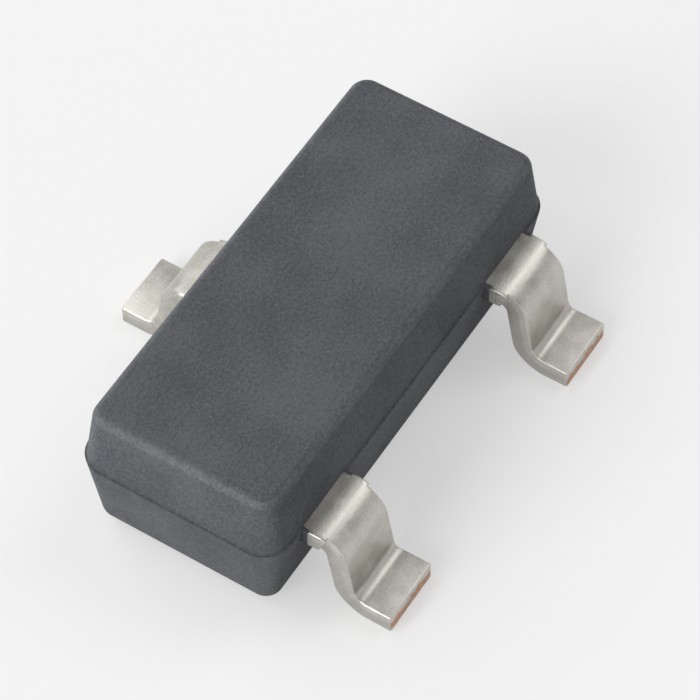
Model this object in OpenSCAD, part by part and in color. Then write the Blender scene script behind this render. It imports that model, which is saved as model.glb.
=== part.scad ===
// Small-signal transistor in a three-lead gull-wing surface-mount package.
// A drafted epoxy moulding holds one stamped and formed lead frame, cut into
// three leads. The collector lead ends inside in the paddle that carries the
// chip, and a bond wire runs from the chip to each of the other two leads.
// X runs along the body, +Y points to the single lead, +Z up, and Z = 0 is
// the plane that the three feet stand on. Millimetres.

/* [Moulded body] */
// Length of the body at the parting line
body_l = 2.92; // [2.8:0.01:3.04]
// Width of the body at the parting line
body_w = 1.3; // [1.2:0.01:1.4]
// Height of the body itself
body_h = 0.95; // [0.9:0.01:1.02]
// Gap between the body's underside and the plane of the feet
standoff = 0.05; // [0.01:0.01:0.1]
// Draft of the walls, from upright, in degrees
draft = 8; // [5:1:10]
// How far the upper mould half stands in from the lower one
mould_step = 0.012; // [0.006:0.002:0.02]
// Radius of the body's upright corners at the parting line
corner_r = 0.17; // [0.16:0.01:0.2]
// Radius of the edges round the top and the underside
edge_r = 0.06; // [0.04:0.01:0.07]

/* [Mould marks] */
// Diameter of the ejector pin's mark in the underside
ejector_d = 0.5; // [0.3:0.05:0.7]
// Depth of the ejector pin's mark
ejector_depth = 0.025; // [0.01:0.005:0.05]
// Width of the gate's break-off patch on the +X end
gate_w = 0.36; // [0.2:0.02:0.5]
// Height of the gate's break-off patch
gate_h = 0.14; // [0.08:0.01:0.2]
// Distance of the patch below the parting line
gate_drop = 0.02; // [0.01:0.005:0.04]

/* [Leads] */
// Thickness of the lead frame's strip
lead_t = 0.13; // [0.1:0.01:0.15]
// Width of a lead outside the body
lead_w = 0.42; // [0.37:0.01:0.5]
// Distance between the base lead and the emitter lead
lead_pitch = 1.9; // [1.8:0.01:2]
// Distance from the tips on one side to the tip on the other
lead_span = 2.4; // [2.3:0.01:2.5]
// Height of the flat strip's underside above the plane of the feet
lead_z = 0.47; // [0.42:0.01:0.52]
// Radius on the inside of each bend
bend_r = 0.07; // [0.05:0.01:0.09]
// Slope of the leg between the bends, from level, in degrees
leg_angle = 80; // [72:1:86]
// Length of the flat part of each foot
foot_l = 0.17; // [0.12:0.01:0.22]
// How far the cut ends of the dam bar stand out from a lead's sides
dambar_stub = 0.018; // [0.005:0.001:0.03]
// Length of the dam bar's cut ends along the lead
dambar_l = 0.09; // [0.05:0.01:0.12]
// Gap between the body and the dam bar's cut ends
dambar_gap = 0.03; // [0.01:0.01:0.05]

/* [Paddle and bond fingers] */
// Size of the chip paddle along the body
paddle_l = 0.96; // [0.8:0.01:1.04]
// Size of the chip paddle across the body
paddle_w = 0.86; // [0.7:0.01:0.96]
// Width of a bond finger's head
finger_w = 0.54; // [0.5:0.01:0.58]
// Distance from the body's wall in to a finger's head
finger_root = 0.22; // [0.16:0.01:0.28]
// Length of a finger's head across the body
finger_l = 0.48; // [0.4:0.01:0.56]
// Radius of the stamping's corners inside the body
stamp_r = 0.05; // [0.02:0.01:0.07]

/* [Chip] */
// Side of the square chip
die_l = 0.38; // [0.3:0.01:0.5]
// Thickness of the chip
die_t = 0.14; // [0.1:0.01:0.16]
// Thickness of the layer that fixes the chip to the paddle
attach_t = 0.02; // [0.01:0.005:0.03]
// How far that layer runs out round the chip
attach_margin = 0.025; // [0.01:0.005:0.04]

/* [Bond wires] */
// Diameter of the bond wires
wire_d = 0.025; // [0.018:0.001:0.033]
// Diameter of the ball that each wire starts from
ball_d = 0.066; // [0.05:0.002:0.08]
// Height of that ball
ball_h = 0.018; // [0.01:0.002:0.024]
// Height of the straight neck above the ball
neck_h = 0.045; // [0.02:0.005:0.06]
// Radius of the bend at the top of the loop
loop_r = 0.05; // [0.03:0.005:0.06]
// Diameter of the flattened stitch at the wire's far end
stitch_d = 0.07; // [0.05:0.005:0.09]
// Thickness of the stitch
stitch_t = 0.008; // [0.004:0.001:0.012]
// Distance of each bond pad from the chip's middle, along the body
pad_x = 0.09; // [0.05:0.01:0.11]
// Distance of each bond pad from the chip's middle, across the body
pad_y = 0.07; // [0.03:0.01:0.11]
// Distance from a lead's middle line to its stitch, towards the chip
stitch_in = 0.1; // [0.05:0.01:0.16]
// Distance of the stitches from the body's middle line
stitch_y = 0.14; // [0.05:0.01:0.2]

/* [Hidden] */

$fn = 48;
edge_steps = 4;
bend_steps = 8;
corner_steps = 4;
wall_steps = 8;
loop_steps = 8;
wire_sides = 12;
epoxy_colour = "#3a3c3c";
tin_colour = "#c9c7bf";
silver_epoxy_colour = "#9b9b98";
silicon_colour = "#5c636b";
gold_colour = "#d9b45a";

body_top = standoff + body_h;
// The mould halves meet at the top face of the flat strip
parting_z = lead_z + lead_t;
die_top = parting_z + attach_t + die_t;
// Longer than the part in every direction, for cuts that go right through
reach = body_l + lead_span;
// How far one room inside the moulding reaches into the next, so that they
// are one room wherever two pieces touch
room_lap = attach_t;

// Middle line of a lead's side view, which bends down and then level again
bend_mid_r = bend_r + lead_t / 2;
leg_l = (lead_z - 2 * bend_mid_r * (1 - cos(leg_angle))) / sin(leg_angle);
tip_y = lead_span / 2;
foot_y = tip_y - foot_l;
shoulder_y = foot_y - 2 * bend_mid_r * sin(leg_angle) - leg_l * cos(leg_angle);

function unit(v) = v / norm(v);

function turned(v, angle) = [
    v.x * cos(angle) - v.y * sin(angle),
    v.x * sin(angle) + v.y * cos(angle)
];

function arc(centre, r, from, to, steps) = [
    for (i = [0:steps])
        let (a = from + (to - from) * i / steps)
        centre + r * [cos(a), sin(a)]
];

// The corner at p, between its neighbours a and b, rounded to radius r
function round_corner(a, p, b, r) =
    let (
        back = unit(a - p),
        on = unit(b - p),
        half = acos(back * on) / 2,
        start = p + back * r / tan(half),
        centre = p + unit(back + on) * r / sin(half),
        sweep = -sign(cross(back, on)) * (180 - 2 * half)
    )
    [for (i = [0:corner_steps]) centre + turned(start - centre, sweep * i / corner_steps)];

// Half of a closed outline, mirrored in X = 0 to make the whole of it
function both_sides(right) = concat(
    right,
    [for (i = [len(right) - 1:-1:0]) [-right[i].x, right[i].y]]
);

// Distance from the middle to the wall at the parting line, facing angle a
function wall_reach(a) =
    (body_l / 2 - corner_r) * abs(cos(a)) + (body_w / 2 - corner_r) * abs(sin(a)) + corner_r;

// One wall's outline from the underside to the top, with rounded edges
function wall_outline(out) =
    let (
        low = [out - (parting_z - standoff) * tan(draft), standoff],
        high = [out - mould_step - (body_top - parting_z) * tan(draft), body_top],
        edge_in = edge_r * tan((90 - draft) / 2),
        low_c = [low.x - edge_in, standoff + edge_r],
        high_c = [high.x - edge_in, body_top - edge_r]
    )
    concat(
        arc(low_c, edge_r, -90, -draft, edge_steps),
        [[out, parting_z], [out - mould_step, parting_z]],
        arc(high_c, edge_r, draft, 90, edge_steps)
    );

// The moulding's outside: the space inside all walls, one pair of opposite
// walls for each direction, so the corners are drafted and rounded as well
module body_outside() {
    intersection_for(i = [0:2 * wall_steps - 1])
        wall_pair(90 * i / wall_steps);
    gate_patch();
    resin_fins();
    on_other_side(-1)
        resin_fins();
    on_other_side(1)
        resin_fins();
}

module wall_pair(facing) {
    rotate(facing)
        rotate([90, 0, 0])
            linear_extrude(reach, center = true)
                polygon(both_sides(wall_outline(wall_reach(facing))));
}

// Patch left where the runner was broken off at the gate
module gate_patch() {
    depth = corner_r;
    translate([body_l / 2 - depth, -gate_w / 2, parting_z - gate_drop - gate_h])
        cube([depth, gate_w, gate_h]);
}

// Resin left beside a lead's root, out to the dam bar's cut ends, as one block
// that the lead itself is cut out of
module resin_fins() {
    wide = lead_w + 2 * dambar_stub;
    depth = corner_r;
    translate([-wide / 2, body_w / 2 - depth, lead_z])
        cube([wide, depth + dambar_gap, lead_t]);
}

module ejector_mark() {
    translate([0, 0, standoff - ejector_depth])
        cylinder(d = ejector_d, h = 2 * ejector_depth);
}

module moulded_body() {
    color(epoxy_colour)
        difference() {
            body_outside();
            ejector_mark();
            collector_lead();
            base_lead();
            emitter_lead();
            chip_room();
            bond_from_pad(-1, room_lap);
            bond_from_pad(1, room_lap);
        }
}

// Room for the chip and its attach layer, which starts in the paddle's room
module chip_room() {
    chip_plate(die_l + 2 * attach_margin, room_lap + attach_t, parting_z - room_lap);
    chip_plate(die_l, attach_t + die_t, parting_z);
}

// Side view of a formed lead, from its inner end to its tip at +Y
function lead_side(inner_y) =
    let (
        upper_c = [shoulder_y, parting_z - lead_t / 2 - bend_mid_r],
        lower_c = [foot_y, lead_t / 2 + bend_mid_r],
        outer_r = bend_r + lead_t
    )
    concat(
        [[inner_y, parting_z]],
        arc(upper_c, outer_r, 90, 90 - leg_angle, bend_steps),
        arc(lower_c, bend_r, 270 - leg_angle, 270, bend_steps),
        [[tip_y, lead_t], [tip_y, 0]],
        arc(lower_c, outer_r, 270, 270 - leg_angle, bend_steps),
        arc(upper_c, bend_r, 90 - leg_angle, 90, bend_steps),
        [[inner_y, lead_z]]
    );

// Outline of the stamped strip from above, with its head inside the body
function lead_plan(head_w, head_near, head_far) =
    let (
        bar_y = body_w / 2 + dambar_gap,
        neck = [lead_w / 2, head_near],
        shoulder = [head_w / 2, head_near],
        inner = [head_w / 2, head_far],
        // Small enough for both radii to fit on the step from head to strip
        neck_r = min(stamp_r, (head_w - lead_w) / 4)
    )
    both_sides(concat(
        round_corner([0, head_far], inner, shoulder, stamp_r),
        round_corner(inner, shoulder, neck, neck_r),
        round_corner(shoulder, neck, [lead_w / 2, bar_y], neck_r / 2),
        [
            [lead_w / 2, bar_y],
            [lead_w / 2 + dambar_stub, bar_y],
            [lead_w / 2 + dambar_stub, bar_y + dambar_l],
            [lead_w / 2, bar_y + dambar_l],
            [lead_w / 2, tip_y]
        ]
    ));

// A stamped strip, bent down outside the body into a leg and a foot
module formed_lead(head_w, head_near, head_far) {
    color(tin_colour)
        intersection() {
            linear_extrude(2 * parting_z, center = true)
                polygon(lead_plan(head_w, head_near, head_far));
            rotate([90, 0, 90])
                linear_extrude(reach, center = true)
                    polygon(lead_side(head_far));
        }
}

module collector_lead() {
    formed_lead(paddle_l, paddle_w / 2, -paddle_w / 2);
}

// Base and emitter leads are the same stamping, turned to the other side
module finger_lead() {
    head_near = body_w / 2 - finger_root;
    formed_lead(finger_w, head_near, head_near - finger_l);
}

// side is -1 for the base and 1 for the emitter
module on_other_side(side) {
    translate([side * lead_pitch / 2, 0, 0])
        rotate(180)
            children();
}

module base_lead() {
    on_other_side(-1)
        finger_lead();
}

module emitter_lead() {
    on_other_side(1)
        finger_lead();
}

// Square plate of side s and thickness t, with its underside at height z
module chip_plate(s, t, z) {
    translate([-s / 2, -s / 2, z])
        cube([s, s, t]);
}

module die_attach() {
    color(silver_epoxy_colour)
        chip_plate(die_l + 2 * attach_margin, attach_t, parting_z);
}

module silicon_die() {
    color(silicon_colour)
        chip_plate(die_l, die_t, parting_z + attach_t);
}

// A wire loop in the XZ plane, from a ball at the origin on the chip to a
// stitch at the distance span, where the bond finger's face is drop lower.
// For its room in the moulding, both ends are drawn down by sunk.
module bond_wire(span, drop, sunk) {
    neck_top = ball_h + neck_h;
    fall = neck_top + drop;
    run = span - loop_r;
    // The long stretch is tangent to the loop's bend and ends at the stitch
    dip = asin(loop_r / norm([fall, run])) + atan2(fall, run);
    route = concat(
        [[0, ball_h / 2]],
        arc([loop_r, neck_top], loop_r, 180, 90 - dip, loop_steps),
        [[span, -drop]]
    );
    headings = concat(
        [90],
        [for (i = [0:loop_steps]) 90 - (90 + dip) * i / loop_steps],
        [-dip]
    );
    color(gold_colour)
        intersection() {
            union() {
                bond_ball(sunk);
                swept_wire(route, headings);
                translate([span, 0, -drop - sunk])
                    cylinder(d = stitch_d, h = stitch_t + sunk);
            }
            translate([-reach / 2, -reach / 2, -drop - sunk])
                cube(reach);
        }
}

// Round wire along a route in the XZ plane, with a ring square to the
// heading at each of the route's points
module swept_wire(route, headings) {
    rings = [
        for (i = [0:len(route) - 1])
            for (k = [0:wire_sides - 1])
                let (
                    a = 360 * k / wire_sides,
                    off = cos(a) * wire_d / 2 * [-sin(headings[i]), cos(headings[i])]
                )
                [route[i].x + off.x, sin(a) * wire_d / 2, route[i].y + off.y]
    ];
    last = (len(route) - 1) * wire_sides;
    polyhedron(rings, concat(
        [[for (k = [wire_sides - 1:-1:0]) k]],
        [
            for (i = [0:len(route) - 2])
                for (k = [0:wire_sides - 1])
                    let (
                        here = i * wire_sides,
                        next_k = (k + 1) % wire_sides
                    )
                    [here + k, here + next_k, here + wire_sides + next_k, here + wire_sides + k]
        ],
        [[for (k = [0:wire_sides - 1]) last + k]]
    ));
}

// The ball, mashed flat by the bonding tool and chamfered at its top
module bond_ball(sunk) {
    chamfer = (ball_d - wire_d) / 4;
    rotate_extrude()
        polygon([
            [0, -sunk],
            [ball_d / 2, -sunk],
            [ball_d / 2, ball_h / 2],
            [ball_d / 2 - chamfer, ball_h],
            [0, ball_h]
        ]);
}

// side is -1 for the base and 1 for the emitter
module bond_from_pad(side, sunk = 0) {
    pad = [side * pad_x, side * pad_y];
    stitch = [side * (lead_pitch / 2 - stitch_in), -stitch_y];
    way = stitch - pad;
    translate([pad.x, pad.y, die_top])
        rotate(atan2(way.y, way.x))
            bond_wire(norm(way), die_top - parting_z, sunk);
}

module base_bond_wire() {
    bond_from_pad(-1);
}

module emitter_bond_wire() {
    bond_from_pad(1);
}

moulded_body();
collector_lead();
base_lead();
emitter_lead();
die_attach();
silicon_die();
base_bond_wire();
emitter_bond_wire();
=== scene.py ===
import math

import bmesh
import bpy
from mathutils import Matrix, Vector, noise


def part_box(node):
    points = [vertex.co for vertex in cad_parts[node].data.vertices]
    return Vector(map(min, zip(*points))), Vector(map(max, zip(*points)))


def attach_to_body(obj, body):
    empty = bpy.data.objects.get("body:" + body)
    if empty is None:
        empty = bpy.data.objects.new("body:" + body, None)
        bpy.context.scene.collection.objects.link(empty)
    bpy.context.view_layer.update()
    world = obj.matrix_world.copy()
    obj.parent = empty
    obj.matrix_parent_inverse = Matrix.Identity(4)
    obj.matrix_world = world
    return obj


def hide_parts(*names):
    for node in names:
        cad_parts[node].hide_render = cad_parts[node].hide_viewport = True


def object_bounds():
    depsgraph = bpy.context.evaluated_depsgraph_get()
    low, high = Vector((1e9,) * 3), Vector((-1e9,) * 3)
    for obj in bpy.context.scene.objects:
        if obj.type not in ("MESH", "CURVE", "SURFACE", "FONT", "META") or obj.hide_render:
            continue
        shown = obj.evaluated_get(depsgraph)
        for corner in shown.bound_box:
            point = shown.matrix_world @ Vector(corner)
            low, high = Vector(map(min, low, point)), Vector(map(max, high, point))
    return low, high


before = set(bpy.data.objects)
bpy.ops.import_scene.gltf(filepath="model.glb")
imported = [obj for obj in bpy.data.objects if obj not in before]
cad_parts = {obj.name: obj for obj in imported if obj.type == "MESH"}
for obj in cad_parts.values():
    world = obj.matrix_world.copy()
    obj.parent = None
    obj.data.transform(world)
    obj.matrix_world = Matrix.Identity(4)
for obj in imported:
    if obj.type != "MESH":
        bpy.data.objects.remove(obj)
cad_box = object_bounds()

# Camera
# It looks steeply down past the base lead, as in the photograph. The lens is long, because the photograph
# shows next to no perspective. The view's width and shift are in metres, the lens in millimetres.
scene = bpy.context.scene
scene.view_settings.view_transform = "Standard"
view_azimuth = math.radians(-58)
view_elevation = math.radians(55)
view_width = 0.0039
view_shift = Vector((0.00018, -0.00008, 0))
lens_length = 200
sensor_width = 36
nearest_share = 0.05
farthest_seen = 10


def outwards(azimuth, elevation):
    """The way from the part to something seen from it at that azimuth and elevation."""
    return Vector((
        math.sin(azimuth) * math.cos(elevation),
        -math.cos(azimuth) * math.cos(elevation),
        math.sin(elevation),
    ))


middle = (cad_box[0] + cad_box[1]) / 2
to_camera = outwards(view_azimuth, view_elevation)
camera_distance = view_width * lens_length / sensor_width
camera = bpy.data.objects.new("camera", bpy.data.cameras.new("camera"))
scene.collection.objects.link(camera)
camera.data.lens = lens_length
camera.data.sensor_width = sensor_width
camera.data.clip_start = camera_distance * nearest_share
camera.data.clip_end = farthest_seen
camera.rotation_mode = "QUATERNION"
camera.rotation_quaternion = (-to_camera).to_track_quat("-Z", "Y")
camera.location = middle + to_camera * camera_distance + camera.rotation_quaternion @ view_shift
scene.camera = camera

# Collector lead
# Every lead is stamped from one strip of copper alloy, plated with matte tin and bent into a gull wing.
# The collector's strip ends inside the moulding in the paddle that carries the chip.
# Meshes are made in millimetres and brought to metres when they are done.
MM = 0.001
paddle_low, lead_high = (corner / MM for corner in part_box("collector_lead"))
strip_thick = 0.13
strip_wide = 0.42
strip_top = lead_high.z
tip_y = lead_high.y
foot_long = 0.17
inner_bend = 0.07
leg_slope = math.radians(80)
# The moulding's slivers of resin beside each lead reach out to its dam bar's cut ends
bar_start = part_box("moulded_body")[1].y / MM
# The bar itself stood a little off the moulding's wall
bar_gap = 0.03
bar_long = 0.09
bar_stub = 0.018
bar_steps = 2
head_corner = 0.05
head_steps = 5
stamped_edge = 0.012
edge_steps = 3
bend_steps = 12
bend_bulge = 0.006
# Faces meet squarely from the first angle, and an edge between them is shown sharp from the second
square_from = math.radians(50)
sharp_from = math.radians(40)
same_point = 0.0001
# A face looks along an axis when more than this share of its normal does
looks_along = 0.9

middle_bend = inner_bend + strip_thick / 2
leg_drop = strip_top - strip_thick
leg_long = (leg_drop - 2 * middle_bend * (1 - math.cos(leg_slope))) / math.sin(leg_slope)
leg_way = Vector((0, math.cos(leg_slope), -math.sin(leg_slope)))
leg_face = Vector((0, math.sin(leg_slope), math.cos(leg_slope)))
foot_y = tip_y - foot_long
shoulder_y = foot_y - 2 * middle_bend * math.sin(leg_slope) - leg_long * math.cos(leg_slope)
upper_centre = Vector((0, shoulder_y, strip_top - strip_thick / 2 - middle_bend))
lower_centre = Vector((0, foot_y, strip_thick / 2 + middle_bend))
# Lengths along the flat blank, before it was bent
blank_leg = shoulder_y + middle_bend * leg_slope
blank_lower = blank_leg + leg_long
blank_foot = blank_lower + middle_bend * leg_slope
blank_tip = blank_foot + foot_long


def round_off(bm, edges, radius, steps):
    """Rounds the edges of a mesh to a radius, where its faces meet squarely."""
    bmesh.ops.bevel(
        bm, geom=edges, offset=radius, offset_type="OFFSET", segments=steps,
        profile=0.5, affect="EDGES", material=-1, clamp_overlap=True,
    )


def box_blank(bm, low, high):
    """A plain block between two corners, to be worked on."""
    block = bmesh.ops.create_cube(bm, size=1)["verts"]
    bmesh.ops.scale(bm, vec=Vector(high) - Vector(low), verts=block)
    bmesh.ops.translate(bm, vec=(Vector(high) + Vector(low)) / 2, verts=block)
    return block


def draw_on(bm, end, way):
    """Carries an end face on in a straight line and returns the new end."""
    grown = bmesh.ops.extrude_face_region(bm, geom=[end])["geom"]
    bmesh.ops.delete(bm, geom=[end], context="FACES")
    end = next(part for part in grown if isinstance(part, bmesh.types.BMFace))
    bmesh.ops.translate(bm, vec=way, verts=end.verts)
    return end


def bend_on(bm, end, centre, axis, angle, steps):
    """Carries an end face on round a bend and returns the new end."""
    spun = bmesh.ops.spin(
        bm, geom=[end], cent=centre, axis=axis, dvec=(0, 0, 0), angle=angle,
        steps=steps, space=Matrix(), use_merge=False, use_duplicate=False,
    )["geom_last"]
    bmesh.ops.delete(bm, geom=[end], context="FACES")
    return next(part for part in spun if isinstance(part, bmesh.types.BMFace))


def side_walls(bm, old_faces):
    """The faces on the strip's two cut sides that are newer than old_faces."""
    bm.normal_update()
    return [face for face in bm.faces if face not in old_faces and abs(face.normal.x) > looks_along]


def widen(bm, walls, by):
    """Draws side walls outwards, which makes that stretch of the strip wider."""
    grown = bmesh.ops.extrude_face_region(bm, geom=walls)["geom"]
    bmesh.ops.delete(bm, geom=walls, context="FACES")
    for vert in (part for part in grown if isinstance(part, bmesh.types.BMVert)):
        vert.co.x += math.copysign(by, vert.co.x)


def squeeze_bends(bm):
    """Widens the strip on the inside of each bend and narrows it on the outside."""
    for centre, way in ((upper_centre, 1), (lower_centre, -1)):
        for vert in bm.verts:
            from_centre = vert.co - centre
            turned = math.atan2(from_centre.y * way, from_centre.z * way)
            out = math.hypot(from_centre.y, from_centre.z) - middle_bend
            if 0 < turned < leg_slope and abs(out) < strip_thick:
                swell = math.sin(math.pi * turned / leg_slope) * out / (strip_thick / 2)
                vert.co.x -= math.copysign(bend_bulge * swell, vert.co.x)


def place_on_blank(point):
    """How far along the flat blank a point of the bent strip lay, and how deep below its top face."""
    if point.y < shoulder_y:
        return point.y, strip_top - point.z
    if point.y > foot_y:
        return blank_foot + point.y - foot_y, strip_thick - point.z
    from_leg = point - upper_centre - leg_face * middle_bend
    run = from_leg.dot(leg_way)
    if run < 0:
        out = point - upper_centre
        depth = inner_bend + strip_thick - math.hypot(out.y, out.z)
        return shoulder_y + middle_bend * math.atan2(out.y, out.z), depth
    if run > leg_long:
        out = lower_centre - point
        depth = math.hypot(out.y, out.z) - inner_bend
        return blank_foot - middle_bend * math.atan2(out.y, out.z), depth
    return blank_leg + run, strip_thick / 2 - from_leg.dot(leg_face)


def corner_edges(bm, low_y, high_y):
    """The edges between two places along Y at which the strip's faces meet squarely."""
    places = ((edge, (edge.verts[0].co.y + edge.verts[1].co.y) / 2) for edge in bm.edges)
    return [edge for edge, y in places if low_y < y < high_y and edge.calc_face_angle(0) > square_from]


def goes_through(edge):
    """Whether an edge goes through the strip's thickness, and isn't on one of its rolled faces."""
    depths = [place_on_blank(vert.co)[1] for vert in edge.verts]
    return abs(depths[0] - depths[1]) > strip_thick / 2


def note_blank(bm, apart):
    """Keeps each point's place on the blank with the mesh, for the marks that follow the strip."""
    layer = bm.verts.layers.float_vector.new("blank")
    for vert in bm.verts:
        along, depth = place_on_blank(vert.co)
        vert[layer] = Vector((vert.co.x + apart, along, depth)) * MM


def gull_wing(head_wide, head_far, head_near, apart):
    """A whole lead towards +Y, with a head of that width and reach inside the moulding.

    Its marks are those of a stretch of the strip that lies so far apart from the collector's.
    """
    bm = bmesh.new()
    half = strip_wide / 2
    head_step = (head_wide - strip_wide) / 2
    box_blank(bm, (-half, head_far, strip_top - strip_thick), (half, head_near, strip_top))
    head_sides = side_walls(bm, [])
    across = (1, 0, 0)
    # The dam bar's cut ends reach so far round the upper bend
    bar_turn = (bar_start + bar_long - shoulder_y) / middle_bend
    end = max(bm.faces, key=lambda face: face.normal.y)
    end = draw_on(bm, end, (0, bar_start - head_near, 0))
    before_bar = set(bm.faces)
    end = draw_on(bm, end, (0, shoulder_y - bar_start, 0))
    end = bend_on(bm, end, upper_centre, across, -bar_turn, bar_steps)
    bar_sides = side_walls(bm, before_bar)
    end = bend_on(bm, end, upper_centre, across, bar_turn - leg_slope, bend_steps)
    end = draw_on(bm, end, leg_long * leg_way)
    end = bend_on(bm, end, lower_centre, across, leg_slope, bend_steps)
    draw_on(bm, end, (0, foot_long, 0))
    widen(bm, head_sides, head_step)
    widen(bm, bar_sides, bar_stub)
    bmesh.ops.recalc_face_normals(bm, faces=bm.faces)
    neck_corner = min(head_corner, head_step / 2)
    for place, radius in ((head_far, head_corner), (head_near, neck_corner)):
        corners = corner_edges(bm, place - head_corner, place + head_corner)
        round_off(bm, [edge for edge in corners if goes_through(edge)], radius, head_steps)
    rims = [edge for edge in corner_edges(bm, -tip_y, tip_y - stamped_edge) if not goes_through(edge)]
    tip_edges = corner_edges(bm, tip_y - stamped_edge, tip_y + stamped_edge)
    round_off(bm, rims + tip_edges, stamped_edge, edge_steps)
    note_blank(bm, apart)
    squeeze_bends(bm)
    return bm


def finish_piece(bm, name, material):
    """Closes a mesh made in millimetres and makes it a piece of the scene in metres."""
    bmesh.ops.remove_doubles(bm, verts=bm.verts, dist=same_point)
    bmesh.ops.recalc_face_normals(bm, faces=bm.faces)
    bmesh.ops.scale(bm, vec=(MM, MM, MM), verts=bm.verts)
    mesh = bpy.data.meshes.new(name)
    bm.to_mesh(mesh)
    bm.free()
    mesh.shade_smooth()
    mesh.set_sharp_from_angle(angle=sharp_from)
    mesh.materials.append(material)
    piece = bpy.data.objects.new(name, mesh)
    scene.collection.objects.link(piece)
    flats = piece.modifiers.new("flat_faces", "WEIGHTED_NORMAL")
    flats.keep_sharp = True
    return piece


class Finish:
    """A material put together from patterns round one shader."""

    def __init__(self, name):
        self.material = bpy.data.materials.new(name)
        self.material.use_nodes = True
        self.nodes = self.material.node_tree.nodes
        self.links = self.material.node_tree.links
        self.shader = self.nodes["Principled BSDF"]
        self.where = self.nodes.new("ShaderNodeTexCoord")
        self.place = self.where.outputs["Object"]

    def feed(self, socket, value):
        """Links a pattern to a socket, or sets its plain value."""
        if isinstance(value, bpy.types.NodeSocket):
            self.links.new(value, socket)
        else:
            socket.default_value = value

    def set(self, **values):
        """Sets the shader's own inputs, named in lower case with _ for a space."""
        for name, value in values.items():
            self.feed(self.shader.inputs[name.replace("_", " ").title().replace("Ior", "IOR")], value)

    def follow(self, attribute):
        """Makes the patterns follow a vector that the mesh holds."""
        node = self.nodes.new("ShaderNodeAttribute")
        node.attribute_name = attribute
        self.place = node.outputs["Vector"]

    def marked(self, attribute):
        """A number that the mesh holds for each of its points."""
        node = self.nodes.new("ShaderNodeAttribute")
        node.attribute_name = attribute
        return node.outputs["Fac"]

    def stretched(self, x, y, z):
        """The place, times a scale in each direction."""
        node = self.nodes.new("ShaderNodeMapping")
        node.inputs["Scale"].default_value = (x, y, z)
        self.links.new(self.place, node.inputs["Vector"])
        return node.outputs["Vector"]

    def grain(self, scale, detail=2, roughness=0.5, place=None):
        """Noise with about so many grains to a metre."""
        node = self.nodes.new("ShaderNodeTexNoise")
        node.inputs["Scale"].default_value = scale
        node.inputs["Detail"].default_value = detail
        node.inputs["Roughness"].default_value = roughness
        self.links.new(place or self.place, node.inputs["Vector"])
        return node.outputs["Fac"]

    def flecks(self, scale):
        """Distance from the nearest of many scattered points."""
        node = self.nodes.new("ShaderNodeTexVoronoi")
        node.inputs["Scale"].default_value = scale
        self.links.new(self.place, node.inputs["Vector"])
        return node.outputs["Distance"]

    def ramp(self, value, low, high, to_low=0, to_high=1):
        """Maps a value between low and high to one between to_low and to_high."""
        node = self.nodes.new("ShaderNodeMapRange")
        node.interpolation_type = "SMOOTHSTEP"
        self.feed(node.inputs["Value"], value)
        node.inputs["From Min"].default_value = low
        node.inputs["From Max"].default_value = high
        node.inputs["To Min"].default_value = to_low
        node.inputs["To Max"].default_value = to_high
        return node.outputs["Result"]

    def band(self, value, start, full, fading, gone):
        """1 between full and fading, and 0 before start and after gone."""
        return self.times(self.ramp(value, start, full), self.ramp(value, fading, gone, 1, 0))

    def maths(self, operation, a, b=0):
        """What one operation makes of a pattern and another, or a plain value."""
        node = self.nodes.new("ShaderNodeMath")
        node.operation = operation
        self.feed(node.inputs[0], a)
        self.feed(node.inputs[1], b)
        return node.outputs[0]

    def times(self, a, b):
        """A pattern times another, or times a plain value."""
        return self.maths("MULTIPLY", a, b)

    def plus(self, a, b):
        """A pattern and another, or a plain value, added up."""
        return self.maths("ADD", a, b)

    def blend(self, share, a, b):
        """Colour a where the share is 0 and b where it is 1."""
        node = self.nodes.new("ShaderNodeMix")
        node.data_type = "RGBA"
        self.feed(node.inputs["Factor"], share)
        # The colour sockets share their names with the plain ones, so they are taken by number
        for socket, colour in ((node.inputs[6], a), (node.inputs[7], b)):
            self.feed(socket, colour if isinstance(colour, bpy.types.NodeSocket) else (*colour, 1))
        return node.outputs[2]

    def relief(self, height, depth):
        """Presses a height pattern into the surface, to a depth in metres."""
        node = self.nodes.new("ShaderNodeBump")
        node.inputs["Distance"].default_value = depth
        self.links.new(height, node.inputs["Height"])
        self.links.new(node.outputs["Normal"], self.shader.inputs["Normal"])

    def part_of(self, vector, letter):
        """One letter's share of a vector, without its sign."""
        node = self.nodes.new("ShaderNodeSeparateXYZ")
        self.links.new(vector, node.inputs["Vector"])
        return self.maths("ABSOLUTE", node.outputs[letter])


tin_dark = (0.465, 0.453, 0.41)
tin_light = (0.6, 0.586, 0.535)
tin_torn = (0.4, 0.39, 0.365)
copper_dark = (0.43, 0.23, 0.15)
copper_light = (0.54, 0.3, 0.19)
tin_relief = 0.0000011
# How near the blank's end the cut tip starts and is whole
tip_starts = 0.005
tip_whole = 0.003
# The punch cuts an edge cleanly to the first depth and has torn it from the second
cut_cleanly = 0.04
torn_from = 0.06
# Copper shows on the tip where the depth, plus what the smeared tin strays by, is between these
bare_depths = (0.115, 0.125, 0.185, 0.195)
smear_ragged = 0.14


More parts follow.
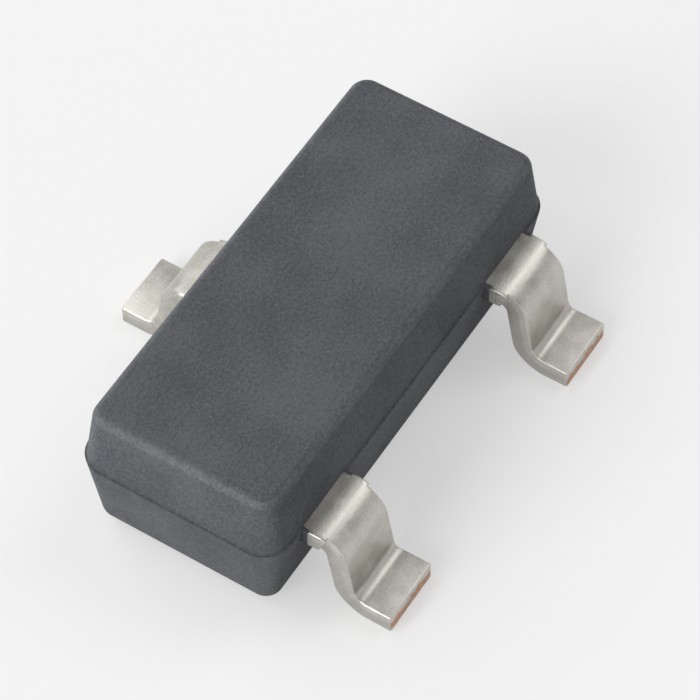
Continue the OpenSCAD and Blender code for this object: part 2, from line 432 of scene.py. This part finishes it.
def matte_tin():
    """Tin plating over the rolled and sheared strip, with bare copper where the tip was cut off."""
    finish = Finish("matte_tin_plating")
    facing = finish.where.outputs["Normal"]
    finish.follow("blank")
    along = finish.part_of(finish.place, "Y")
    depth = finish.part_of(finish.place, "Z")
    fine = finish.grain(75000, detail=3, roughness=0.6)
    clouds = finish.grain(9000)
    rolled = finish.grain(1, place=finish.stretched(70000, 3000, 3000))
    sheared = finish.grain(1, detail=3, place=finish.stretched(80000, 80000, 7000))
    on_tip = finish.ramp(along, (blank_tip - tip_starts) * MM, (blank_tip - tip_whole) * MM)
    on_side = finish.ramp(finish.part_of(facing, "X"), 0.75, 0.95)
    cut = finish.maths("MAXIMUM", on_tip, on_side)
    # The forming tool slid over the outside of the upper bend and down the leg
    slid = finish.times(
        finish.band(along, shoulder_y * MM, blank_leg * MM, blank_leg * MM, blank_lower * MM),
        finish.ramp(finish.grain(1, place=finish.stretched(45000, 1500, 1500)), 0.45, 0.65),
    )
    torn = finish.times(cut, finish.ramp(depth, cut_cleanly * MM, torn_from * MM))
    shade = finish.plus(finish.times(fine, 0.5), finish.times(clouds, 0.5))
    plating = finish.blend(finish.ramp(shade, 0.35, 0.65), tin_dark, tin_light)
    plating = finish.blend(finish.times(torn, 0.5), plating, tin_torn)
    # Tin was smeared down over the upper part of the tip as it was cut
    smear = finish.plus(finish.times(depth, 1 / MM), finish.times(finish.grain(24000), smear_ragged))
    bare = finish.times(on_tip, finish.band(smear, *bare_depths))
    copper = finish.blend(finish.ramp(sheared, 0.35, 0.65), copper_dark, copper_light)
    finish.set(
        base_color=finish.blend(bare, plating, copper),
        metallic=1.0,
        roughness=finish.plus(
            finish.ramp(shade, 0.3, 0.7, 0.34, 0.48),
            finish.plus(finish.times(torn, 0.12), finish.times(slid, -0.1)),
        ),
    )
    height = finish.plus(finish.times(rolled, 0.4), fine)
    height = finish.plus(height, finish.times(finish.times(sheared, cut), 2.5))
    finish.relief(height, tin_relief)
    return finish.material


tin = matte_tin()
paddle_wide = lead_high.x - paddle_low.x
collector = finish_piece(
    gull_wing(paddle_wide, paddle_low.y, -paddle_low.y, apart=0),
    "tinned_collector_lead",
    tin,
)
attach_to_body(collector, "root")
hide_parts("collector_lead")

# Base and emitter leads
# The same strip as the collector's, cut free of it after moulding, and pointing the other way.
# Each ends inside the moulding in a finger that a bond wire is stitched to.
finger_long = 0.48
# How far apart the stretches of strip lie that the leads take their marks from
lead_apart = 5

for number, node in enumerate(("base_lead", "emitter_lead"), start=1):
    low, high = (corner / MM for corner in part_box(node))
    bm = gull_wing(high.x - low.x, -high.y, finger_long - high.y, apart=number * lead_apart)
    bmesh.ops.rotate(bm, matrix=Matrix.Rotation(math.pi, 3, "Z"), verts=bm.verts)
    bmesh.ops.translate(bm, vec=((low.x + high.x) / 2, 0, 0), verts=bm.verts)
    lead = finish_piece(bm, "tinned_" + node, tin)
    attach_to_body(lead, "root")
    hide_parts(node)

# Die attach
# Silver-filled epoxy, put on the paddle as a drop of paste and cured under the chip, which presses it
# out into a low fillet on all four sides.
attach_low, attach_high = (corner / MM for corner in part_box("die_attach"))
chip_low, chip_high = (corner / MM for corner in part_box("silicon_die"))
attach_cells = 28
# The outer lip's share of the paste's thickness, and the share of its margin that is ragged
fillet_lip = 0.15
fillet_ragged = 0.3
fillet_lumps = 40
paste_grey = (0.3, 0.3, 0.285)
flake_silver = (0.62, 0.61, 0.58)
paste_relief = 0.000002


def pressed_paste():
    """A thin slab that thins out past the chip's edges, with a ragged outline."""
    bm = bmesh.new()
    box_blank(bm, attach_low, attach_high)
    flat = [edge for edge in bm.edges if abs(edge.verts[0].co.z - edge.verts[1].co.z) < same_point]
    bmesh.ops.subdivide_edges(bm, edges=flat, cuts=attach_cells - 1, use_grid_fill=True)
    margin = attach_high.x - chip_high.x
    for vert in bm.verts:
        out = (max(abs(vert.co.x), abs(vert.co.y)) - chip_high.x) / margin
        if out <= 0:
            continue
        ragged = fillet_ragged * (1 + noise.noise(vert.co * fillet_lumps)) / 2 * out * margin
        for axis in (0, 1):
            vert.co[axis] -= math.copysign(min(ragged, abs(vert.co[axis])), vert.co[axis])
        if vert.co.z > attach_low.z + same_point:
            rise = fillet_lip + (1 - fillet_lip) * (1 - out) ** 2
            vert.co.z = attach_low.z + (attach_high.z - attach_low.z) * rise
    return bm


def silver_epoxy():
    """Grey cured paste with silver flakes in it."""
    finish = Finish("silver_filled_epoxy")
    grain = finish.grain(60000, detail=3)
    flakes = finish.ramp(finish.flecks(90000), 0.2, 0.4, 1, 0)
    finish.set(
        base_color=finish.blend(flakes, paste_grey, flake_silver),
        metallic=finish.times(flakes, 0.8),
        roughness=finish.ramp(grain, 0.3, 0.7, 0.45, 0.65),
    )
    finish.relief(grain, paste_relief)
    return finish.material


attach = finish_piece(pressed_paste(), "silver_die_attach", silver_epoxy())
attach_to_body(attach, "root")
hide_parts("die_attach")

# Chip
# A square of silicon, sawn from its wafer, so its sides are scored. Its face is passivated, apart from
# the saw street round its edge and an aluminium pad each for the base and the emitter.
street_wide = 0.022
street_deep = 0.003
pad_side = 0.1
pad_place = Vector((0.09, 0.07))
silicon_sawn = (0.11, 0.115, 0.13)
silicon_face = (0.075, 0.1, 0.125)
ring_oxide = (0.3, 0.33, 0.32)
pad_aluminium = (0.76, 0.76, 0.75)
sawn_relief = 0.0000012
# A thin ring of oxide shows round each pad, between these distances from its middle
ring_band = (0.056, 0.058, 0.064, 0.066)
# The face and the pads fade out over this distance
soft_end = 0.001


def sawn_chip():
    """A block of silicon whose passivated face stands a little above the saw street round it."""
    bm = bmesh.new()
    box_blank(bm, chip_low, (chip_high.x, chip_high.y, chip_high.z - street_deep))
    bm.normal_update()
    face = max(bm.faces, key=lambda side: side.normal.z)
    bmesh.ops.inset_region(bm, faces=[face], thickness=street_wide, depth=0, use_even_offset=True)
    bmesh.ops.inset_region(bm, faces=[face], thickness=street_deep, depth=street_deep, use_even_offset=True)
    return bm


def chip_face():
    """Silicon with saw marks, a passivated face and two aluminium pads."""
    finish = Finish("passivated_silicon")
    where = finish.place
    sawn = finish.grain(1, place=finish.stretched(6000, 6000, 160000))
    apart = []
    for sign in (-1, 1):
        shift = finish.nodes.new("ShaderNodeMapping")
        shift.inputs["Location"].default_value = (-sign * pad_place.x * MM, -sign * pad_place.y * MM, 0)
        finish.links.new(where, shift.inputs["Vector"])
        moved = shift.outputs["Vector"]
        apart.append(finish.maths("MAXIMUM", finish.part_of(moved, "X"), finish.part_of(moved, "Y")))
    nearest = finish.maths("MINIMUM", *apart)
    height = finish.part_of(where, "Z")
    on_face = finish.ramp(height, (chip_high.z - 2 * soft_end) * MM, (chip_high.z - soft_end) * MM)
    on_pad = finish.ramp(nearest, (pad_side / 2 - soft_end) * MM, pad_side / 2 * MM, 1, 0)
    pads = finish.times(on_face, on_pad)
    ring = finish.times(on_face, finish.band(nearest, *(edge * MM for edge in ring_band)))
    silicon = finish.blend(on_face, silicon_sawn, silicon_face)
    silicon = finish.blend(finish.times(ring, 0.6), silicon, ring_oxide)
    finish.set(
        base_color=finish.blend(pads, silicon, pad_aluminium),
        metallic=finish.ramp(pads, 0, 1, 0.35, 1),
        roughness=finish.ramp(on_face, 0, 1, 0.42, 0.16),
    )
    finish.relief(finish.times(sawn, finish.maths("SUBTRACT", 1, on_face)), sawn_relief)
    return finish.material


chip = finish_piece(sawn_chip(), "transistor_chip", chip_face())
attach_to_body(chip, "root")
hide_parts("silicon_die")

# Bond wires
# Gold wire, about a third of a hair thick. A spark melts its end to a ball, which is pressed on the
# chip's pad. The wire is then looped over and its other end mashed on the finger, as a stitch.
wire_thick = 0.025
wire_sides = 16
ball_foot = 0.028
# Radius and height of each ring of the ball, up to the wire
ball_profile = ((0.033, 0.005), (0.033, 0.012), (0.024, 0.017), (wire_thick / 2, 0.022))
neck_top = 0.063
loop_radius = 0.05
loop_steps = 14
stitch_wide = 0.07
stitch_thick = 0.008
stitch_y = -0.14
stitch_in = 0.1
heel_long = 0.04
# Each step of the mashed stretch: how far it closes up along the wire, and its share of the flattening
heel_steps = ((0.8, 0.4), (0.3, 0.6))
# The stitch's toe is scaled by these along the wire, across it and in height
toe_shape = (0.3, 1.1, 0.5)
gold_dark = (0.72, 0.47, 0.13)
gold_light = (0.86, 0.61, 0.22)
gold_relief = 0.0000004


def reshape(bm, end, way, x, y, z):
    """Carries an end face on, scales it about its middle and returns it."""
    end = draw_on(bm, end, way)
    around = Matrix.Translation(-end.calc_center_median())
    bmesh.ops.scale(bm, vec=(x, y, z), space=around, verts=end.verts)
    return end


def looped_wire(span, drop):
    """A wire in the XZ plane, from its ball at the origin to a stitch at the distance span, drop lower."""
    fall = neck_top + drop
    run = span - loop_radius
    # How steeply the wire falls from its loop to the stitch
    dip = math.asin(loop_radius / math.hypot(fall, run)) + math.atan2(fall, run)
    radius, height = ball_profile[0]
    bm = bmesh.new()
    bmesh.ops.create_cone(
        bm, cap_ends=True, segments=wire_sides, radius1=ball_foot, radius2=radius, depth=height,
        matrix=Matrix.Translation((0, 0, height / 2)),
    )
    end = max(bm.faces, key=lambda face: face.calc_center_median().z)
    for next_radius, next_height in ball_profile[1:]:
        grow = next_radius / radius
        end = reshape(bm, end, (0, 0, next_height - height), grow, grow, 1)
        radius, height = next_radius, next_height
    end = draw_on(bm, end, (0, 0, neck_top - height))
    end = bend_on(bm, end, (loop_radius, 0, neck_top), (0, 1, 0), math.pi / 2 + dip, loop_steps)
    heel = Vector((span, 0, stitch_thick / 2 - drop)) - end.calc_center_median()
    mashed = heel.normalized() * heel_long
    wide = stitch_wide / wire_thick
    # Leaning by the dip, the wire's end is less high than the wire is thick
    flat = stitch_thick / (wire_thick * math.cos(dip))
    end = draw_on(bm, end, heel - mashed)
    for closed, share in heel_steps:
        end = reshape(bm, end, mashed / len(heel_steps), closed, wide ** share, flat ** share)
    reshape(bm, end, (stitch_wide / 2, 0, -stitch_thick / 4), *toe_shape)
    return bm


def drawn_gold():
    """Bright gold wire with a faint grain."""
    finish = Finish("gold_bond_wire")
    grain = finish.grain(90000)
    finish.set(
        base_color=finish.blend(grain, gold_dark, gold_light),
        metallic=1.0,
        roughness=finish.ramp(grain, 0.3, 0.7, 0.16, 0.3),
    )
    finish.relief(grain, gold_relief)
    return finish.material


gold = drawn_gold()
for sign, node in ((-1, "base_lead"), (1, "emitter_lead")):
    low, high = (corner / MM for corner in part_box(node))
    pad = sign * pad_place
    stitch = Vector(((low.x + high.x) / 2 - sign * stitch_in, stitch_y))
    way = stitch - pad
    bm = looped_wire(way.length, chip_high.z - strip_top)
    bmesh.ops.rotate(bm, matrix=Matrix.Rotation(math.atan2(way.y, way.x), 3, "Z"), verts=bm.verts)
    bmesh.ops.translate(bm, vec=(pad.x, pad.y, chip_high.z), verts=bm.verts)
    wire_node = node.replace("lead", "bond_wire")
    wire = finish_piece(bm, "gold_" + wire_node, gold)
    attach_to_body(wire, "root")
    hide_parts(wire_node)

# Moulded body
# Black epoxy filled with silica, moulded round the lead frame between two spark-eroded mould halves.
# The upper half stands in a little from the lower, and both have draft. The gate's broken stub is on the
# emitter's end, and an ejector pin has left a round mark in the underside.
body_low, body_high = (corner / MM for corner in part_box("moulded_body"))
body_long = body_high.x - body_low.x
body_wide = 2 * (bar_start - bar_gap)
parting = strip_top
mould_draft = math.radians(8)
mould_step = 0.012
ledge_fall = 0.003
wall_corner = 0.17
corner_steps = 9
rim_radius = 0.06
rim_steps = 5
ejector_wide = 0.5
ejector_deep = 0.025
ejector_slope = 0.006
ejector_sides = 48
gate_wide = 0.36
gate_high = 0.14
gate_drop = 0.02
gate_cells = 20
# How deep the broken gate's hollows are, and how proud of the wall it is at least
gate_rough = 0.009
gate_least = 0.0025
gate_lumps = 28
# Finer lumps on the broken gate: how much finer, and their share of the coarse ones' height
gate_finer = 3
gate_fine_share = 0.5
touching = 0.001
# How far a sliver is rooted in the wall, and how far it laps the lead and lies in from its faces
fin_root = 0.03
fin_inset = 0.004
fin_ragged = 0.006
fin_cells = 3
# Without a seed the slivers would be ragged in another way on each run
fin_seed = 1
resin_dark = (0.066, 0.068, 0.077)
resin_light = (0.109, 0.113, 0.125)
# Lighter resin for the rims and upright corners: partly rubbed wear, partly a painted highlight
resin_rubbed_sheen = (0.165, 0.169, 0.18)
resin_broken = (0.137, 0.141, 0.15)
filler_speck = (0.19, 0.19, 0.19)
resin_relief = 0.0000065


def mould_half(inset, high):
    """One half of the moulding, open at Z = 0, with drafted walls and a rounded rim at the top."""
    bm = bmesh.new()
    plate = bmesh.ops.create_grid(bm, x_segments=1, y_segments=1, size=0.5)["verts"]
    bmesh.ops.scale(bm, vec=(body_long - 2 * inset, body_wide - 2 * inset, 1), verts=plate)
    bmesh.ops.bevel(
        bm, geom=plate, offset=wall_corner - inset, offset_type="OFFSET", segments=corner_steps,
        profile=0.5, affect="VERTICES", material=-1, clamp_overlap=True,
    )
    face = next(iter(bm.faces))
    bmesh.ops.inset_region(
        bm, faces=[face], thickness=high * math.tan(mould_draft), depth=high,
        use_boundary=True, use_even_offset=True,
    )
    # A rounding of that radius starts so far from the edge
    rim = rim_radius * math.tan((math.pi / 2 - mould_draft) / 2)
    round_off(bm, list(face.edges), rim, rim_steps)
    return bm


def join_halves(upper, lower):
    """The whole skin, with the ledge that the mould halves leave at the parting line."""
    bmesh.ops.scale(lower, vec=(1, 1, -1), verts=lower.verts)
    bmesh.ops.reverse_faces(lower, faces=lower.faces)
    bmesh.ops.translate(lower, vec=(0, 0, -ledge_fall), verts=lower.verts)
    mesh = bpy.data.meshes.new("lower_half")
    lower.to_mesh(mesh)
    lower.free()
    upper.from_mesh(mesh)
    bpy.data.meshes.remove(mesh)
    open_edges = [edge for edge in upper.edges if edge.is_boundary]
    bmesh.ops.bridge_loops(upper, edges=open_edges)
    bmesh.ops.translate(upper, vec=(0, 0, parting), verts=upper.verts)
    upper.normal_update()
    return upper


def press_ejector(bm):
    """Sinks the ejector pin's round mark into the underside."""
    polished = bm.verts.layers.float.new("polished")
    under = min(bm.faces, key=lambda face: face.calc_center_median().z)
    rim = list(under.edges)
    bmesh.ops.delete(bm, geom=[under], context="FACES_ONLY")
    ring = bmesh.ops.create_circle(
        bm, cap_ends=True, segments=ejector_sides, radius=ejector_wide / 2,
        matrix=Matrix.Translation((0, 0, body_low.z)),
    )["verts"]
    mark = ring[0].link_faces[0]
    bmesh.ops.triangle_fill(bm, edges=rim + list(mark.edges), use_beauty=True)
    bmesh.ops.inset_region(bm, faces=[mark], thickness=ejector_slope, use_even_offset=True)
    bmesh.ops.translate(bm, vec=(0, 0, ejector_deep), verts=mark.verts)
    for vert in mark.verts:
        vert[polished] = 1


def new_points(bm, edges, cuts):
    """Cuts the faces between some edges into a grid and returns its new points."""
    made = bmesh.ops.subdivide_edges(bm, edges=edges, cuts=cuts, use_grid_fill=True)
    return [part for part in made["geom_inner"] if isinstance(part, bmesh.types.BMVert)]


def break_gate(bm):
    """Leaves the rough stub on the +X end where the runner was broken off."""
    broken = bm.verts.layers.float.new("broken")
    top = parting - gate_drop
    cuts = (
        ((0, gate_wide / 2, 0), (0, 1, 0)),
        ((0, -gate_wide / 2, 0), (0, 1, 0)),
        ((0, 0, top - gate_high), (0, 0, 1)),
        ((0, 0, top), (0, 0, 1)),
    )
    centre = Vector((body_high.x, 0, top - gate_high / 2))

    def end_wall():
        """The flat of the +X end below the parting line that is nearest to the gate's middle."""
        bm.normal_update()
        flats = [face for face in bm.faces if face.normal.x > looks_along and face.normal.z < 0]
        return min(flats, key=lambda face: (face.calc_center_median() - centre).length)

    def tear(verts):
        """Lays points on the stub's lumpy face, a little proud of the wall round it."""
        for vert in verts:
            spot = vert.co * gate_lumps
            lumps = noise.noise(spot) + gate_fine_share * noise.noise(spot * gate_finer)
            wall_in = (parting - ledge_fall - vert.co.z) * math.tan(mould_draft)
            vert.co.x = body_high.x - max(0, min(gate_rough * (1 - lumps), wall_in - gate_least))
            vert[broken] = 1

    for place, facing in cuts:
        wall = end_wall()
        cut = [wall, *wall.edges, *wall.verts]
        bmesh.ops.bisect_plane(bm, geom=cut, dist=touching, plane_co=place, plane_no=facing)
    # The stub gets a face of its own, flat on the wall, before it is torn
    stub = draw_on(bm, end_wall(), (0, 0, 0))
    tear(stub.verts)
    tear(new_points(bm, list(stub.edges), gate_cells))


def leave_fins(bm, x, way):
    """Leaves the slivers of resin between a lead and its dam bar's ends, way being its sign along Y."""
    for side in (-1, 1):
        root = Vector((x + side * (strip_wide / 2 - fin_inset), way * (body_wide / 2 - fin_root), 0))
        tip = Vector((x + side * (strip_wide / 2 + bar_stub), way * (bar_start + fin_inset), 0))
        low = [min(pair) for pair in zip(root, tip)]
        high = [max(pair) for pair in zip(root, tip)]
        low[2] = strip_top - strip_thick + fin_inset
        high[2] = strip_top - fin_inset
        block = box_blank(bm, low, high)
        edges = [edge for edge in bm.edges if edge.verts[0] in block]
        for vert in new_points(bm, edges, fin_cells):
            ragged = noise.noise_vector(vert.co * gate_lumps) * fin_ragged
            vert.co.x -= side * abs(ragged.x)
            vert.co.z += ragged.z / 2


def moulded_epoxy():
    """Matte black epoxy with the grain of the mould, specks of silica filler, and rims lightened partly by
    rubbing and partly as a painted highlight.
    """
    finish = Finish("moulded_epoxy")
    facing = finish.where.outputs["Normal"]
    up = finish.part_of(facing, "Z")
    corner = finish.times(finish.part_of(facing, "X"), finish.part_of(facing, "Y"))
    # Rims and upright corners, found from the way the surface faces, take a lighter colour: partly rubbed
    # wear, partly a painted highlight
    rubbed_and_sheen = finish.maths(
        "MAXIMUM", finish.band(up, 0.2, 0.5, 0.8, 0.98), finish.ramp(corner, 0.2, 0.5, 0, 0.6),
    )
    pits = finish.grain(52000, detail=4, roughness=0.6)
    mottle = finish.grain(2600, detail=3)
    glints = finish.grain(90000)
    specks = finish.times(
        finish.ramp(finish.flecks(52000), 0.1, 0.26, 1, 0),
        finish.ramp(finish.grain(21000, detail=1), 0.5, 0.62),
    )
    shade = finish.plus(finish.times(pits, 0.65), finish.times(mottle, 0.35))
    resin = finish.blend(finish.ramp(shade, 0.36, 0.64), resin_dark, resin_light)
    # The painted highlight and rubbed wear on the rims, broken up by the pits
    edges = finish.times(rubbed_and_sheen, finish.ramp(pits, 0.4, 0.6, 0.25, 0.5))
    resin = finish.blend(edges, resin, resin_rubbed_sheen)
    broken = finish.marked("broken")
    crumbs = finish.times(broken, finish.ramp(pits, 0.35, 0.6, 0.3, 0.9))
    resin = finish.blend(crumbs, resin, resin_broken)
    smoother = finish.plus(finish.times(rubbed_and_sheen, 0.08), finish.times(finish.marked("polished"), 0.2))
    finish.set(
        base_color=finish.blend(finish.times(specks, 0.8), resin, filler_speck),
        roughness=finish.maths("SUBTRACT", finish.ramp(glints, 0.3, 0.7, 0.6, 0.85), smoother),
        specular_ior_level=0.28,
    )
    finish.relief(finish.plus(finish.times(pits, 0.7), finish.times(glints, 0.45)), resin_relief)
    return finish.material


skin = join_halves(
    mould_half(mould_step, body_high.z - parting),
    mould_half(0, parting - ledge_fall - body_low.z),
)
press_ejector(skin)
break_gate(skin)
noise.seed_set(fin_seed)
leave_fins(skin, 0, 1)
for node in ("base_lead", "emitter_lead"):
    low, high = (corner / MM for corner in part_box(node))
    leave_fins(skin, (low.x + high.x) / 2, -1)
body = finish_piece(skin, "epoxy_moulding", moulded_epoxy())
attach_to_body(body, "root")
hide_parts("moulded_body")

# Floor and light
# A plain pale floor under three soft boxes. The part's shadow lies on it, and it is clear from below.
# The sky is as pale as the floor where they meet and darker overhead, and lights the part more softly.
# Lengths here are in metres.
floor_side = 4
lamps_away = 4
# The floor's share of glow and its white where it is seen, and its white in the light it throws back
floor_glow = 0.45
floor_white = 0.84
floor_bounce = 0.68
# The sky's strength low down and overhead, first where it is seen and then in the light it gives
sky_glow = 0.916
sky_overhead = 0.5
round_light = 0.45
overhead_light = 0.3
# The sky is as it is overhead from here up, given as the sine of the elevation
overhead_from = 0.45

floor_bm = bmesh.new()
bmesh.ops.create_grid(floor_bm, x_segments=1, y_segments=1, size=floor_side / 2)
floor_mesh = bpy.data.meshes.new("floor")
floor_bm.to_mesh(floor_mesh)
floor_bm.free()
floor = bpy.data.objects.new("floor", floor_mesh)
scene.collection.objects.link(floor)


def shown(nodes, links):
    """1 for what is seen straight, in a reflection or through something clear, and 0 for plain light."""
    path = nodes.new("ShaderNodeLightPath")
    seen = path.outputs["Is Camera Ray"]
    for ray in ("Is Glossy Ray", "Is Transmission Ray"):
        either = nodes.new("ShaderNodeMath")
        either.operation = "MAXIMUM"
        links.new(seen, either.inputs[0])
        links.new(path.outputs[ray], either.inputs[1])
        seen = either.outputs[0]
    return seen


def between(nodes, links, share, low, high):
    """A value that goes from low to high as the share goes from 0 to 1."""
    node = nodes.new("ShaderNodeMapRange")
    links.new(share, node.inputs["Value"])
    node.inputs["To Min"].default_value = low
    node.inputs["To Max"].default_value = high
    return node.outputs["Result"]


def pale_floor():
    """White paper that glows where it is seen, and is clear from below."""
    material = bpy.data.materials.new("pale_floor")
    material.use_nodes = True
    nodes = material.node_tree.nodes
    links = material.node_tree.links
    nodes.clear()
    seen = shown(nodes, links)
    matte = nodes.new("ShaderNodeBsdfDiffuse")
    links.new(between(nodes, links, seen, floor_bounce, floor_white), matte.inputs["Color"])
    glow = nodes.new("ShaderNodeEmission")
    paper = nodes.new("ShaderNodeMixShader")
    links.new(between(nodes, links, seen, 0, floor_glow), paper.inputs[0])
    links.new(matte.outputs[0], paper.inputs[1])
    links.new(glow.outputs[0], paper.inputs[2])
    geometry = nodes.new("ShaderNodeNewGeometry")
    below = nodes.new("ShaderNodeMixShader")
    links.new(geometry.outputs["Backfacing"], below.inputs[0])
    links.new(paper.outputs[0], below.inputs[1])
    links.new(nodes.new("ShaderNodeBsdfTransparent").outputs[0], below.inputs[2])
    links.new(below.outputs[0], nodes.new("ShaderNodeOutputMaterial").inputs["Surface"])
    return material


floor_mesh.materials.append(pale_floor())


def pale_surroundings():
    """A white sky that is paler where it is seen than in the light that it gives, and darker overhead."""
    world = bpy.data.worlds.new("pale_surroundings")
    world.use_nodes = True
    nodes = world.node_tree.nodes
    links = world.node_tree.links
    seen = shown(nodes, links)
    split = nodes.new("ShaderNodeSeparateXYZ")
    links.new(nodes.new("ShaderNodeTexCoord").outputs["Generated"], split.inputs["Vector"])
    fade = nodes.new("ShaderNodeMapRange")
    links.new(split.outputs["Z"], fade.inputs["Value"])
    fade.inputs["From Max"].default_value = overhead_from
    links.new(between(nodes, links, seen, round_light, sky_glow), fade.inputs["To Min"])
    links.new(between(nodes, links, seen, overhead_light, sky_overhead), fade.inputs["To Max"])
    nodes["Background"].inputs["Color"].default_value = (1, 1, 1, 1)
    links.new(fade.outputs["Result"], nodes["Background"].inputs["Strength"])
    return world


scene.world = pale_surroundings()


def softbox(name, azimuth, elevation, side, share):
    """A square lamp aimed at the part, which lights a white face square to it to that share of white."""
    lamp = bpy.data.lights.new(name, "AREA")
    lamp.shape = "SQUARE"
    lamp.size = side
    # The lamp's points lie off its middle by a mean square of a sixth of its side squared
    lamp.energy = share * math.pi ** 2 * (lamps_away ** 2 + side ** 2 / 6)
    holder = bpy.data.objects.new(name, lamp)
    scene.collection.objects.link(holder)
    out = outwards(math.radians(azimuth), math.radians(elevation))
    holder.location = middle + out * lamps_away
    holder.rotation_mode = "QUATERNION"
    holder.rotation_quaternion = (-out).to_track_quat("-Z", "Y")
    holder.visible_camera = False


softbox("key_softbox", azimuth=180, elevation=46, side=3.6, share=0.42)
softbox("streak_softbox", azimuth=62, elevation=54, side=1.8, share=0.16)
softbox("fill_softbox", azimuth=-108, elevation=24, side=3, share=0.78)
